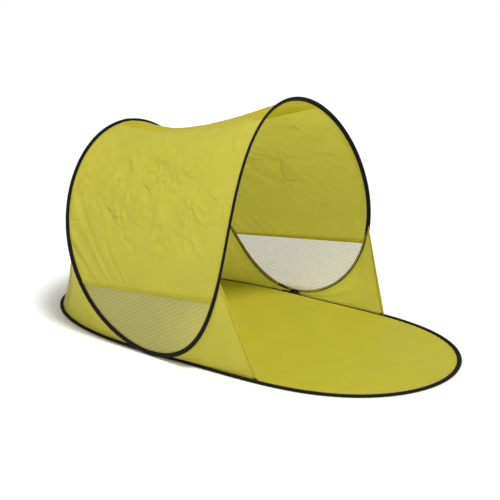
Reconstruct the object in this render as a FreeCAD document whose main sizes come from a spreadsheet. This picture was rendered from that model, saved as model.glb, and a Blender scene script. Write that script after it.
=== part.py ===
"""Pop-up beach tent: one saddle-shaped sprung hoop over one flat sprung floor hoop.

Every length is in millimetres. +X points out of the open front, +Z is up and the floor
hoop rests on Z = 0. The origin lies on the ground in the middle of the tent's length.
Both hoops are closed curves given by short Fourier sums, which is the shape that a sprung
wire takes when it is held at a few places. Every sewn panel is worked out from them.
"""
import FreeCAD
import Part
import math
import os

from FreeCAD import Base

Vector = Base.Vector

# ---------------------------------------------------------------- driving dimensions
SIZES = [
    # floor hoop, measured on the wire's centre line
    ("BaseLength", 1984.0, "length of the floor hoop"),
    ("BaseWidth", 972.0, "width of the floor hoop"),
    ("BaseEndRoundness", 0.0555, "third harmonic along the length"),
    ("BaseSideFullness", 0.1122, "third harmonic across the width"),
    ("BaseEggShift", 49.0, "how far the widest place sits towards the front"),
    ("BaseRearFullness", 10.8, "how much fuller the rear quarters are"),
    # canopy hoop
    ("FrontCrownX", 254.0, "front crown"),
    ("FrontCrownHeight", 1011.0, "front crown above the ground"),
    ("RearCrownX", -673.0, "rear crown"),
    ("RearCrownHeight", 846.0, "rear crown above the ground"),
    ("FootX", -82.0, "the place where the two hoops are sewn together"),
    ("FootHeight", 9.6, "the hoop's centre line above the ground at the foot"),
    ("LobeFullness", 73.7, "how much the side lobes bulge lengthwise"),
    ("LobeSquareness", 12.8, "how square the side lobes are"),
    ("ShoulderFullness", 103.8, "how far the shoulders stand out"),
    ("ShoulderLean", 12.0, "how much wider the front shoulders are"),
    ("CrownSharpness", 20.3, "how tight the hoop bends at the crowns"),
    # wire, ferrules and binding
    ("WireDiameter", 3.0, "sprung steel wire"),
    ("FerruleClearance", 0.4, "room around the wire in the crimped joining tube"),
    ("FerruleWall", 0.8, "wall of the joining tube"),
    ("FerruleLength", 26.0, "length of the joining tube"),
    ("WireEndGap", 2.0, "gap between the wire's two ends inside the ferrule"),
    ("ChannelClearance", 0.5, "room around the joining tube in the binding's sleeve"),
    ("BindingDiameter", 16.0, "folded black binding around the wire"),
    ("BindingJoinLength", 32.0, "overlap patch where the binding starts and ends"),
    ("BindingJoinWall", 1.2, "thickness of the overlap patch"),
    ("BindingJoinWrap", 110.0, "degrees that the patch wraps around the binding"),
    # sewn sheets
    ("SheetThickness", 1.0, "fabric with its seam allowance"),
    ("SeamGap", 0.4, "clearance kept between two sewn pieces"),
    ("RoofSag", 59.0, "how far the roof dips between the two crowns"),
    ("RoofSagSkew", 0.35, "how much more of that dip lies towards the rear"),
    ("HemAngleFront", 54.2, "hoop angle of the window seam at the front edge"),
    ("HemAngleRear", 57.0, "hoop angle of the window seam at the rear edge"),
    ("WindowFootAngle", 83.0, "hoop angle where the side window ends above the foot"),
    ("HemWidth", 14.0, "width of the folded hem tapes"),
    ("RidgeRearWidth", 90.0, "rear width of the second layer sewn along the ridge"),
    ("RidgeFrontWidth", 380.0, "front width of that second layer"),
    ("GussetTopAngle", 49.0, "hoop angle of the top of the front gusset"),
    ("GussetFootAngle", 64.2, "floor hoop angle of the front corner of the gusset"),
    ("GussetTipAngle", 80.0, "hoop angle of the gusset's narrow end"),
    ("RearGussetAngle", 142.0, "hoop angle where the rear gusset meets the rear wall"),
    ("RearWindowHeight", 0.37, "share of the rear wall that is mesh"),
    ("RearWallSag", 45.0, "how far the rear wall is pulled inwards"),
    ("TackLength", 18.0, "bar tack at the foot of the front gusset"),
    ("TackWidth", 5.0, "width of the bar tack"),
    ("FootGap", 1.6, "clearance between the two bindings at the foot"),
    ("TieLength", 36.0, "tie patch that holds the two hoops together at each foot"),
    ("TieThickness", 1.2, "thickness of the tie patch"),
]

HOOP_SPANS = 36          # biarcs along each hoop
GRID_ACROSS = 17         # points across a sheet
GRID_ALONG = 13          # points along a sheet
STRIP_ACROSS = 4         # points across a narrow tape

doc = FreeCAD.newDocument("popup_tent")
sheet = doc.addObject("Spreadsheet::Sheet", "Sizes")
for row_number, (alias, value, note) in enumerate(SIZES, start=1):
    sheet.set("A%d" % row_number, alias)
    sheet.set("B%d" % row_number, str(value))
    sheet.set("C%d" % row_number, note)
    sheet.setAlias("B%d" % row_number, alias)
doc.recompute()


def size(alias):
    """Read one driving dimension from the sheet."""
    return float(sheet.get(alias))


PARTS = []


def keep(item, label):
    """Name a finished sub-part, so that it is checked and written."""
    item.Label = label
    PARTS.append(item)
    return item


def keep_shape(shape, label):
    """Hold a shape that Part's own functions made as a sub-part of the document."""
    item = doc.addObject("Part::Feature", label)
    item.Shape = shape
    item.Placement = FreeCAD.Placement(Vector(0, 0, 0), FreeCAD.Rotation())
    return keep(item, label)


# ---------------------------------------------------------------- the two hoops
BINDING_RADIUS = size("BindingDiameter") / 2
FERRULE_BORE = size("WireDiameter") + 2 * size("FerruleClearance")
CHANNEL_DIAMETER = FERRULE_BORE + 2 * size("FerruleWall") + 2 * size("ChannelClearance")


def base_point(angle):
    """Centre line of the floor hoop; 0 is the front end and 180 degrees the rear end."""
    roundness = size("BaseEndRoundness")
    fullness = size("BaseSideFullness")
    along = (math.cos(angle) + roundness * math.cos(3 * angle)) / (1 + roundness)
    across = (math.sin(angle) + fullness * math.sin(3 * angle)) / (1 - fullness)
    x = size("BaseLength") / 2 * along + size("BaseEggShift") * (1 - math.cos(2 * angle))
    y = size("BaseWidth") / 2 * across - size("BaseRearFullness") * math.sin(2 * angle)
    return Vector(x, y, BINDING_RADIUS)


def base_angle_at(x):
    """Angle on the far half of the floor hoop at a given X."""
    low, high = 0.0, math.pi
    for _ in range(50):
        middle = (low + high) / 2
        if base_point(middle).x > x:
            low = middle
        else:
            high = middle
    return (low + high) / 2


FOOT_ANGLE = base_angle_at(size("FootX"))
FOOT_Y = base_point(FOOT_ANGLE).y + size("BindingDiameter") + size("FootGap")


def canopy_point(angle):
    """Centre line of the saddle hoop; 0 is the front crown, 90 degrees the far foot."""
    crown_half = (size("FrontCrownX") - size("RearCrownX")) / 2
    crown_middle = (size("FrontCrownX") + size("RearCrownX")) / 2
    fullness = size("LobeFullness")
    square = size("LobeSquareness")
    x = (crown_middle + size("FootX")) / 2 + square
    x += (crown_half + fullness) * math.cos(angle)
    x += (crown_middle - size("FootX")) / 2 * math.cos(2 * angle)
    x -= fullness * math.cos(3 * angle)
    x -= square * math.cos(4 * angle)
    shoulder = size("ShoulderFullness")
    y = (FOOT_Y + shoulder) * math.sin(angle)
    y += size("ShoulderLean") * math.sin(2 * angle)
    y += shoulder * math.sin(3 * angle)
    tilt = (size("FrontCrownHeight") - size("RearCrownHeight")) / 2
    mean = (size("FrontCrownHeight") + size("RearCrownHeight")) / 2
    sharp = size("CrownSharpness")
    z = (mean + size("FootHeight")) / 2 - sharp
    z += tilt * (0.75 * math.cos(angle) + 0.25 * math.cos(3 * angle))
    z += (mean - size("FootHeight")) / 2 * math.cos(2 * angle)
    z += sharp * math.cos(4 * angle)
    return Vector(x, y, z)


def tangent(curve, angle):
    """Unit direction of a hoop."""
    step = 1e-4
    along = curve(angle + step) - curve(angle - step)
    return along.normalize()


def arc_between(start, corner, end):
    """Arc that leaves start and reaches end along the two lines through the corner."""
    middle = (start + end) * 0.5
    rise = corner - middle
    half_chord = (end - start).Length / 2
    if rise.Length < 1e-6 * half_chord:
        return Part.LineSegment(start, end).toShape()
    sagitta = half_chord * math.tan(math.atan2(rise.Length, half_chord) / 2)
    return Part.Arc(start, middle + rise.normalize() * sagitta, end).toShape()


def hoop_wire(curve, first, last):
    """Tangent arcs, two to a span, that follow a hoop from one angle to another."""
    edges = []
    angles = [first + (last - first) * i / HOOP_SPANS for i in range(HOOP_SPANS + 1)]
    for begin, finish in zip(angles[:-1], angles[1:]):
        start, end = curve(begin), curve(finish)
        leave, arrive = tangent(curve, begin), tangent(curve, finish)
        chord = end - start
        both = leave + arrive
        spread = 2 * (1 - leave.dot(arrive))
        reach = chord.dot(both)
        length = (math.sqrt(reach ** 2 + spread * chord.dot(chord)) - reach) / spread
        near_corner = start + leave * length
        far_corner = end - arrive * length
        join = (near_corner + far_corner) * 0.5
        edges.append(arc_between(start, near_corner, join))
        edges.append(arc_between(join, far_corner, end))
    return Part.Wire(edges)


def round_profile(curve, angle, diameter):
    """Circle square to a hoop."""
    circle = Part.Circle(curve(angle), tangent(curve, angle), diameter / 2)
    return Part.Wire([circle.toShape()])


def tube(curve, first, last, diameter):
    """Solid round tube along a hoop."""
    path = hoop_wire(curve, first, last)
    return path.makePipeShell([round_profile(curve, first, diameter)], True, False)


def end_trim(curve, gap):
    """Angle that leaves half of a gap at the rear of a hoop."""
    step = 1e-3
    per_angle = (curve(math.pi + step) - curve(math.pi)).Length / step
    return gap / 2 / per_angle


def add_hoop(name, curve):
    """Wire, crimped ferrule, black binding and the binding's overlap patch."""
    trim = end_trim(curve, size("WireEndGap"))
    wire = tube(curve, -math.pi + trim, math.pi - trim, size("WireDiameter"))
    keep_shape(wire, name + "_hoop_wire")

    trim = end_trim(curve, size("SeamGap"))
    outer = tube(curve, -math.pi + trim, math.pi - trim, size("BindingDiameter"))
    channel = tube(curve, -math.pi + trim, math.pi - trim, CHANNEL_DIAMETER)
    keep_shape(outer.cut(channel), name + "_binding")

    lay_tube(name + "_hoop_ferrule", curve(math.pi), "Ferrule",
             "Sizes.WireDiameter / 2 + Sizes.FerruleClearance", 360)
    lay_tube(name + "_binding_join", curve(math.pi), "BindingJoin",
             "Sizes.BindingDiameter / 2 + 2 * Sizes.SeamGap", size("BindingJoinWrap"))


def lay_tube(label, centre, family, bore_radius, wrap):
    """Short straight tube across the tent; a partial wrap covers its upper rear side."""
    across = FreeCAD.Rotation(Vector(1, 0, 0), -90)
    upper_rear = -135
    across = FreeCAD.Rotation(Vector(0, 1, 0), upper_rear - wrap / 2).multiply(across)
    outer = doc.addObject("Part::Cylinder", label + "_outer")
    inner = doc.addObject("Part::Cylinder", label + "_inner")
    outer.Angle = wrap
    inner.setExpression("Radius", "(%s) * 1mm" % bore_radius)
    outer.setExpression("Radius", "(%s + Sizes.%sWall) * 1mm" % (bore_radius, family))
    for cylinder in (outer, inner):
        cylinder.setExpression("Height", "Sizes.%sLength * 1mm" % family)
        start = centre - Vector(0, size(family + "Length") / 2, 0)
        cylinder.Placement = FreeCAD.Placement(start, across)
    cut = doc.addObject("Part::Cut", label)
    cut.Base = outer
    cut.Tool = inner
    return keep(cut, label)


# ---------------------------------------------------------------- sewn sheets
def grid_normal(points, i, j):
    """Unit normal of a grid of points at one of them."""
    rows, columns = len(points), len(points[0])
    down = points[min(i + 1, rows - 1)][j] - points[max(i - 1, 0)][j]
    right = points[i][min(j + 1, columns - 1)] - points[i][max(j - 1, 0)]
    return down.cross(right).normalize()


def sheet_solid(points, lift=0.0):
    """Closed solid of the sheet's thickness around a grid of points, lifted along its normal."""
    half = size("SheetThickness") / 2
    faces = []
    borders = []
    for offset in (lift + half, lift - half):
        moved = [[points[i][j] + grid_normal(points, i, j) * offset for j in range(len(points[0]))]
                 for i in range(len(points))]
        surface = Part.BSplineSurface()
        surface.interpolate(moved)
        faces.append(surface.toShape())
        u_low, u_high, v_low, v_high = surface.bounds()
        borders.append([surface.uIso(u_low), surface.uIso(u_high),
                        surface.vIso(v_low), surface.vIso(v_high)])
    for upper, lower in zip(*borders):
        faces.append(Part.makeRuledSurface(upper.toShape(), lower.toShape()))
    shell = Part.makeShell(faces)
    shell.sewShape()
    solid = Part.makeSolid(shell)
    if solid.Volume < 0:
        solid.reverse()
    return solid


def inset(point, along_hoop, target):
    """Leave a hoop's centre line squarely, towards a target, to just clear its binding."""
    towards = target - point
    squarely = towards - along_hoop * towards.dot(along_hoop)
    return point + squarely.normalize() * (BINDING_RADIUS + size("SeamGap"))


def seam_ends(first_curve, first_angle, last_curve, last_angle):
    """Both ends of a line between two hoops, clear of their bindings."""
    start, end = first_curve(first_angle), last_curve(last_angle)
    return (inset(start, tangent(first_curve, first_angle), end),
            inset(end, tangent(last_curve, last_angle), start))


def canopy_row(front_share, rear_share, count):
    """Lengthwise row of the canopy; a share is 0 at a crown and 1 or -1 at a window seam."""
    front_angle = front_share * math.radians(size("HemAngleFront"))
    rear_angle = math.pi - rear_share * math.radians(size("HemAngleRear"))
    front, rear = seam_ends(canopy_point, front_angle, canopy_point, rear_angle)
    row = []
    for step in range(count):
        along = step / (count - 1)
        share = front_share + (rear_share - front_share) * along
        point = front + (rear - front) * along
        bow = 4 * along * (1 - along) * (1 + size("RoofSagSkew") * (2 * along - 1))
        point.z -= size("RoofSag") * math.cos(share * math.pi / 2) ** 2 * bow
        row.append(point)
    return row


def canopy_rows(first, last, count):
    """Rows of the canopy between two rows, each given by its front and rear shares."""
    rows = []
    for i in range(count):
        part = i / (count - 1)
        front_share = first[0] + (last[0] - first[0]) * part
        rear_share = first[1] + (last[1] - first[1]) * part
        rows.append(canopy_row(front_share, rear_share, GRID_ALONG))
    return rows


def crown_share(curve_angle, step_angle, width):
    """Share of the canopy that half a width takes up beside a crown."""
    beside = canopy_point(curve_angle + step_angle / 100)
    return width / 2 / ((beside - canopy_point(curve_angle)).Length * 100)


def hem_share(width):
    """Share of the canopy that a width takes up beside the window seam."""
    seam = canopy_row(1.0, 1.0, 3)[1]
    above = canopy_row(0.99, 0.99, 3)[1]
    return 0.01 * width / (seam - above).Length


def add_canopy():
    """Canopy sheet, second layer along the ridge and the hem tape over each window."""
    edge = 1 - hem_share(size("SeamGap") / 2)
    rows = canopy_rows((-edge, -edge), (edge, edge), 2 * GRID_ACROSS)
    keep_shape(sheet_solid(rows), "canopy_panel")

    lift = size("SheetThickness") + size("SeamGap")
    front = crown_share(0, math.radians(size("HemAngleFront")), size("RidgeFrontWidth"))
    rear = crown_share(math.pi, math.radians(size("HemAngleRear")), size("RidgeRearWidth"))
    strip = canopy_rows((-front, -rear), (front, rear), GRID_ACROSS)
    keep_shape(sheet_solid(strip, -lift), "ridge_reinforcement")

    inner = 1 - hem_share(size("HemWidth"))
    for side, name in ((-1, "near"), (1, "far")):
        strip = canopy_rows((side * inner, side * inner), (side, side), STRIP_ACROSS)
        keep_shape(sheet_solid(strip, -side * lift), "window_hem_" + name)


def window_row(side, share):
    """One lengthwise row of a side window, from its seam at 0 to its foot at 1."""
    bottom = math.radians(size("WindowFootAngle"))
    top_front = math.radians(size("HemAngleFront"))
    top_rear = math.radians(size("HemAngleRear"))
    front_angle = side * (top_front + (bottom - top_front) * share)
    rear_angle = math.pi - side * (top_rear + (bottom - top_rear) * share)
    front, rear = seam_ends(canopy_point, front_angle, canopy_point, rear_angle)
    return [front + (rear - front) * (i / (GRID_ALONG - 1)) for i in range(GRID_ALONG)]


def add_side_windows():
    """Mesh window in the bottom lobe of each side."""
    for side, name in ((-1, "near"), (1, "far")):
        rows = [window_row(side, i / (GRID_ACROSS - 1)) for i in range(GRID_ACROSS)]
        keep_shape(sheet_solid(rows), "side_window_" + name)


def wall_column(hoop_angle, floor_angle, low, high, count, sag=0.0):
    """Line up a wall, from the floor hoop to the canopy hoop, pulled in by sag."""
    bottom, top = seam_ends(base_point, floor_angle, canopy_point, hoop_angle)
    points = []
    for i in range(count):
        share = low + (high - low) * i / (count - 1)
        point = bottom + (top - bottom) * share
        point.x += sag * 4 * share * (1 - share)
        points.append(point)
    return points


def add_front_gussets():
    """Triangular wall on each side of the mouth, its folded front edge and its bar tack."""
    top = math.radians(size("GussetTopAngle"))
    tip = math.radians(size("GussetTipAngle"))
    corner = math.radians(size("GussetFootAngle"))
    floor_tip = base_angle_at(canopy_point(tip).x)
    for side, name in ((-1, "near"), (1, "far")):
        columns = []
        for i in range(GRID_ACROSS):
            share = i / (GRID_ACROSS - 1)
            hoop_angle = side * (tip + (top - tip) * share)
            floor_angle = side * (floor_tip + (corner - floor_tip) * share)
            columns.append(wall_column(hoop_angle, floor_angle, 0, 1, GRID_ALONG))
        keep_shape(sheet_solid(columns), "front_gusset_" + name)

        lift = side * (size("SheetThickness") + size("SeamGap"))
        edge = columns[-1]
        inner = columns[-2]
        hem = []
        for k in range(STRIP_ACROSS):
            column = []
            for edge_point, inner_point in zip(edge, inner):
                back = (inner_point - edge_point).normalize()
                column.append(edge_point + back * size("HemWidth") * (1 - k / (STRIP_ACROSS - 1)))
            hem.append(column)
        keep_shape(sheet_solid(hem, lift), "front_gusset_hem_" + name)
        add_bar_tack(name, side, edge[0], edge[-1], lift)


def add_bar_tack(name, side, foot, top, lift):
    """Small block of dense stitching at the foot of the gusset's front edge."""
    tack = doc.addObject("Part::Box", "bar_tack_" + name)
    tack.setExpression("Length", "Sizes.TackWidth * 1mm")
    tack.setExpression("Width", "Sizes.SheetThickness * 1mm")
    tack.setExpression("Height", "Sizes.TackLength * 1mm")
    up = (top - foot).normalize()
    forward = Vector(1, 0, 0)
    outward = up.cross(forward).normalize()
    forward = outward.cross(up)
    turn = FreeCAD.Rotation(forward, outward, up, "ZXY")
    start = foot + up * size("TackWidth") - outward * size("SheetThickness") / 2
    start -= forward * (size("TackWidth") + size("HemWidth") / 3)
    start += outward * (2 * lift if outward.y * side > 0 else -2 * lift) * side
    tack.Placement = FreeCAD.Placement(start, turn)
    keep(tack, "bar_tack_" + name)


def rear_floor_angle(hoop_angle):
    """Floor hoop angle that faces a canopy hoop angle behind the foot."""
    share = (hoop_angle - math.pi / 2) / (math.pi / 2)
    return FOOT_ANGLE + (math.pi - FOOT_ANGLE) * share


def rear_columns(first, last, low, high, count):
    """Columns of the rear wall between two hoop angles, counted through the rear crown."""
    columns = []
    for i in range(count):
        angle = first + (last - first) * i / (count - 1)
        side = 1 if angle <= math.pi else -1
        hoop_angle = angle if side > 0 else 2 * math.pi - angle
        floor_angle = rear_floor_angle(hoop_angle)
        sag = size("RearWallSag") * math.sin(hoop_angle - math.pi / 2) ** 2
        columns.append(wall_column(side * hoop_angle, side * floor_angle, low, high,
                                   GRID_ALONG, sag))
    return columns


def add_rear():
    """Two rear gussets and between them the rear wall with its mesh window."""
    seam = math.radians(size("RearGussetAngle"))
    tip = math.pi - math.radians(size("GussetTipAngle"))
    seam_angle_gap = size("SeamGap") / 2 / (canopy_point(seam) - Vector(0, 0, 0)).Length
    near_seam = 2 * math.pi - seam
    columns = rear_columns(tip, seam - seam_angle_gap, 0, 1, GRID_ACROSS)
    keep_shape(sheet_solid(columns), "rear_gusset_far")
    columns = rear_columns(near_seam + seam_angle_gap, 2 * math.pi - tip, 0, 1, GRID_ACROSS)
    keep_shape(sheet_solid(columns), "rear_gusset_near")

    split = size("RearWindowHeight")
    height = (canopy_point(math.pi) - base_point(math.pi)).Length
    half_gap = size("SeamGap") / 2 / height
    first, last = seam + seam_angle_gap, near_seam - seam_angle_gap
    columns = rear_columns(first, last, 0, split - half_gap, 2 * GRID_ACROSS)
    keep_shape(sheet_solid(columns), "rear_window")
    columns = rear_columns(first, last, split + half_gap, 1, 2 * GRID_ACROSS)
    keep_shape(sheet_solid(columns), "rear_wall")

    hem_half = size("HemWidth") / 2 / height
    columns = rear_columns(first, last, split - hem_half, split + hem_half, 2 * GRID_ACROSS)
    lift = size("SheetThickness") + size("SeamGap")
    keep_shape(sheet_solid(columns, lift), "rear_window_hem")


# ---------------------------------------------------------------- floor and ties
def add_floor():
    """Floor sheet inside the floor hoop."""
    points = []
    count = 4 * HOOP_SPANS
    below_centre = BINDING_RADIUS - size("SheetThickness")
    margin = math.sqrt(BINDING_RADIUS ** 2 - below_centre ** 2) + size("SeamGap")
    for i in range(count):
        angle = 2 * math.pi * i / count
        inward = Vector(0, 0, 1).cross(tangent(base_point, angle))
        point = base_point(angle) + inward * margin
        points.append(Vector(point.x, point.y, 0))
    edge = Part.BSplineCurve()
    edge.interpolate(Points=points, PeriodicFlag=True)
    outline = doc.addObject("Part::Feature", "floor_outline")
    outline.Shape = Part.Wire([edge.toShape()])
    floor = doc.addObject("Part::Extrusion", "floor_sheet")
    floor.Base = outline
    floor.Dir = Vector(0, 0, 1)
    floor.DirMode = "Custom"
    floor.Solid = True
    floor.setExpression("LengthFwd", "Sizes.SheetThickness * 1mm")
    keep(floor, "floor_sheet")


def add_ties():
    """Patch sewn over both bindings where the canopy hoop meets the floor hoop."""
    foot = math.pi / 2
    step = 1e-3
    speed = (canopy_point(foot + step) - canopy_point(foot)).Length / step
    reach = size("TieLength") / 2 / speed
    crest = max(canopy_point(foot + turn).z for turn in (-reach, 0, reach))
    width = 2 * size("BindingDiameter") + size("FootGap")
    for side, name in ((-1, "near"), (1, "far")):
        tie = doc.addObject("Part::Box", "foot_tie_" + name)
        tie.setExpression("Length", "Sizes.TieLength * 1mm")
        tie.setExpression("Width", "(2 * Sizes.BindingDiameter + Sizes.FootGap) * 1mm")
        tie.setExpression("Height", "Sizes.TieThickness * 1mm")
        middle = side * (FOOT_Y + base_point(FOOT_ANGLE).y) / 2
        start = Vector(size("FootX") - size("TieLength") / 2, middle - width / 2,
                       crest + BINDING_RADIUS + size("SeamGap") / 2)
        tie.Placement = FreeCAD.Placement(start, FreeCAD.Rotation())
        keep(tie, "foot_tie_" + name)


add_hoop("base", base_point)
add_hoop("canopy", canopy_point)
add_canopy()
add_side_windows()
add_front_gussets()
add_rear()
add_floor()
add_ties()
doc.recompute()

# ---------------------------------------------------------------- checks and files
for item in doc.Objects:
    if "Invalid" in item.State or "Error" in item.State:
        raise RuntimeError("%s did not recompute: %s" % (item.Label, item.State))

os.makedirs("parts", exist_ok=True)
for item in PARTS:
    if item.Shape.isNull() or not item.Shape.isValid() or not item.Shape.Solids:
        raise RuntimeError("%s has no sound solid" % item.Label)
for item in PARTS:
    item.Shape.exportStep("parts/%s.step" % item.Label)
    box = item.Shape.BoundBox
    print("%-24s %8.1f cm3  x %.0f..%.0f y %.0f..%.0f z %.1f..%.1f"
          % (item.Label, item.Shape.Volume / 1000, box.XMin, box.XMax,
             box.YMin, box.YMax, box.ZMin, box.ZMax))
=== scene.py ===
import math

import bpy
from mathutils import Matrix, Vector, noise


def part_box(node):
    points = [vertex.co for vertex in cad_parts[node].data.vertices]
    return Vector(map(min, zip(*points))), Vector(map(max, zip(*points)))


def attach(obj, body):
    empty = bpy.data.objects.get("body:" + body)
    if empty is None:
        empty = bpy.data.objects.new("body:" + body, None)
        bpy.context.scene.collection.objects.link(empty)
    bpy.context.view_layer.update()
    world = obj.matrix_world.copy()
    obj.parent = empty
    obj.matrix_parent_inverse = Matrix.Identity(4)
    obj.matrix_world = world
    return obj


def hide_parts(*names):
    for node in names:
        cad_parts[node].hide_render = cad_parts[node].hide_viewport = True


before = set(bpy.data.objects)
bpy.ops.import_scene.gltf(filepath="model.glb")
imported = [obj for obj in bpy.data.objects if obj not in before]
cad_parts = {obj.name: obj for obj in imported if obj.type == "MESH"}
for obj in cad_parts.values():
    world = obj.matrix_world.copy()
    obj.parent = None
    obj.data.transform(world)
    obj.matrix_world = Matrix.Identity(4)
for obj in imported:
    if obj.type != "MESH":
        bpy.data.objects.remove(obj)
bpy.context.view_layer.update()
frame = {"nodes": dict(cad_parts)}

BODY = "root"
NOISE_SEED = 1
noise.seed_set(NOISE_SEED)      # the crease lines would start from the clock otherwise

# ------------------------------------------------------------------ the two hoops
# The same short Fourier sums as the CAD's hoops, in metres.
BASE_LENGTH = 1.984
BASE_WIDTH = 0.972
BASE_END_ROUNDNESS = 0.0555
BASE_SIDE_FULLNESS = 0.1122
BASE_EGG_SHIFT = 0.049
BASE_REAR_FULLNESS = 0.0108

FRONT_CROWN = (0.254, 1.011)
REAR_CROWN = (-0.673, 0.846)
FOOT = (-0.082, 0.0096)
LOBE_FULLNESS = 0.0737
LOBE_SQUARENESS = 0.0128
SHOULDER_FULLNESS = 0.1038
SHOULDER_LEAN = 0.012
CROWN_SHARPNESS = 0.0203

BINDING_RADIUS = 0.008
FOOT_GAP = 0.0016

# The folded tape around each wire.
TAPE_TAIL = 0.0120          # it reaches this far from the wire on its sewn side
TAPE_BACK = 0.0070          # and this far on its folded side
TAPE_HALF = 0.0052          # half its thickness around the wire
TAIL_HALF = 0.0020          # half its thickness at the sewn edge
FLAT_DROP = 0.0024          # the floor hoop's flat tape lies this much lower than its wire's middle
FLAT_DIP = 0.06             # slope of its sewn edge, down towards the ground
CROWN_END = math.radians(32)        # the tape points as at a crown up to this hoop angle
LOBE_START = math.radians(62)       # and as on a lobe from this one
FRONT_CROWN_TAIL = 0.62     # share of the tape's sewn edge that points along the sheet at the front crown
REAR_CROWN_TAIL = 0.35      # and at the rear crown
LOBE_TAIL = 0.98            # and on the lobes
CROWN_TURN = 0.78           # share that points into the tent at the crowns
LOBE_TURN = 0.20            # and on the lobes

# Where the sheets are sewn.
FREE_TUCK = 0.0085          # a sheet alone on a hoop enters the tape this far from the wire
SHARED_TUCK = 0.0025        # two sheets on one hoop start this far either side of the wire
INNER_FACE = 0.0054         # and this far towards the inside of the tent
FREE_EDGE_END = math.radians(46)
WALL_START = math.radians(51)
INSIDE = Vector((-0.20, 0.0, 0.42))
ROOF_SAG = 0.059
ROOF_SAG_SKEW = 0.35
HEM_FRONT = math.radians(54.2)
HEM_REAR = math.radians(57)
WINDOW_FOOT = math.radians(87)
GUSSET_TOP = math.radians(49)
GUSSET_FOOT = math.radians(64.2)
GUSSET_TIP = math.radians(88)
REAR_GUSSET = math.radians(142)
REAR_WINDOW_SHARE = 0.37
REAR_WALL_SAG = 0.045
RIDGE_FRONT_WIDTH = 0.380
RIDGE_REAR_WIDTH = 0.090
HEM_WIDTH = 0.014
WINDOW_HEM_FRONT = 0.018
WINDOW_HEM_REAR = 0.010
SEAM_SPREAD = math.radians(1.6)     # half the rear seams' width, as hoop angle

CLOTH = 0.0006              # modelled thickness of a sheet
FOLDED = 0.0012             # and of a folded hem
LAY = 0.0012                # a hem's middle lies this far outside the sheet's
STITCH_PITCH = 0.0048
STITCH_LENGTH = 0.0034
WEAVE_PITCH = 0.0011
TAPE_PITCH = 0.0016
THREAD_PITCH = 0.0008
NET_PITCH = 0.0175          # height of the net's diamonds
NET_STRETCH = 0.55          # their height over their length


def base_point(angle):
    """Floor hoop; 0 is its front end and pi its rear end."""
    along = math.cos(angle) + BASE_END_ROUNDNESS * math.cos(3 * angle)
    across = math.sin(angle) + BASE_SIDE_FULLNESS * math.sin(3 * angle)
    x = BASE_LENGTH / 2 * along / (1 + BASE_END_ROUNDNESS)
    x += BASE_EGG_SHIFT * (1 - math.cos(2 * angle))
    y = BASE_WIDTH / 2 * across / (1 - BASE_SIDE_FULLNESS)
    y -= BASE_REAR_FULLNESS * math.sin(2 * angle)
    return Vector((x, y, BINDING_RADIUS))


def base_angle_at(x):
    """Angle on the far half of the floor hoop at a given X."""
    low, high = 0.0, math.pi
    for _ in range(50):
        middle = (low + high) / 2
        if base_point(middle).x > x:
            low = middle
        else:
            high = middle
    return (low + high) / 2


FOOT_ANGLE = base_angle_at(FOOT[0])
FOOT_Y = base_point(FOOT_ANGLE).y + 2 * BINDING_RADIUS + FOOT_GAP


def canopy_point(angle):
    """Saddle hoop; 0 is the front crown, a quarter turn the far foot."""
    crown_half = (FRONT_CROWN[0] - REAR_CROWN[0]) / 2
    crown_middle = (FRONT_CROWN[0] + REAR_CROWN[0]) / 2
    x = (crown_middle + FOOT[0]) / 2 + LOBE_SQUARENESS
    x += (crown_half + LOBE_FULLNESS) * math.cos(angle)
    x += (crown_middle - FOOT[0]) / 2 * math.cos(2 * angle)
    x -= LOBE_FULLNESS * math.cos(3 * angle)
    x -= LOBE_SQUARENESS * math.cos(4 * angle)
    y = (FOOT_Y + SHOULDER_FULLNESS) * math.sin(angle)
    y += SHOULDER_LEAN * math.sin(2 * angle) + SHOULDER_FULLNESS * math.sin(3 * angle)
    tilt = (FRONT_CROWN[1] - REAR_CROWN[1]) / 2
    mean = (FRONT_CROWN[1] + REAR_CROWN[1]) / 2
    z = (mean + FOOT[1]) / 2 - CROWN_SHARPNESS
    z += tilt * (0.75 * math.cos(angle) + 0.25 * math.cos(3 * angle))
    z += (mean - FOOT[1]) / 2 * math.cos(2 * angle)
    z += CROWN_SHARPNESS * math.cos(4 * angle)
    return Vector((x, y, z))


def tangent(curve, angle):
    """Unit direction of a hoop."""
    step = 1e-4
    return (curve(angle + step) - curve(angle - step)).normalized()


def squarely(point, along, target):
    """Unit direction from a hoop's point towards a target, square to the hoop."""
    towards = target - point
    return (towards - along * towards.dot(along)).normalized()


def canopy_sides(angle):
    """Point of the saddle hoop, its direction, the way its sheet leaves and the way inwards."""
    point = canopy_point(angle)
    along = tangent(canopy_point, angle)
    across = squarely(point, along, canopy_point(math.pi - angle))
    inward = along.cross(across)
    if inward.dot(INSIDE - point) < 0:
        inward = -inward
    return point, along, across, inward


def tail_way(angle, across, inward):
    """Way that the tape's sewn edge points: drawn inwards at the crowns, along the sheet on the lobes."""
    turn = abs(math.atan2(math.sin(angle), math.cos(angle)))
    turn = min(turn, math.pi - turn)
    share = ease((turn - CROWN_END) / (LOBE_START - CROWN_END))
    crown_tail = FRONT_CROWN_TAIL if math.cos(angle) > 0 else REAR_CROWN_TAIL
    along_sheet = crown_tail + (LOBE_TAIL - crown_tail) * share
    turned_in = CROWN_TURN + (LOBE_TURN - CROWN_TURN) * share
    return (across * along_sheet + inward * turned_in).normalized()


def walled(angle):
    """0 where the saddle hoop is a free edge of the mouth and 1 where a wall shares its seam."""
    turn = abs(math.atan2(math.sin(angle), math.cos(angle)))
    return ease((turn - FREE_EDGE_END) / (WALL_START - FREE_EDGE_END))


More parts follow.
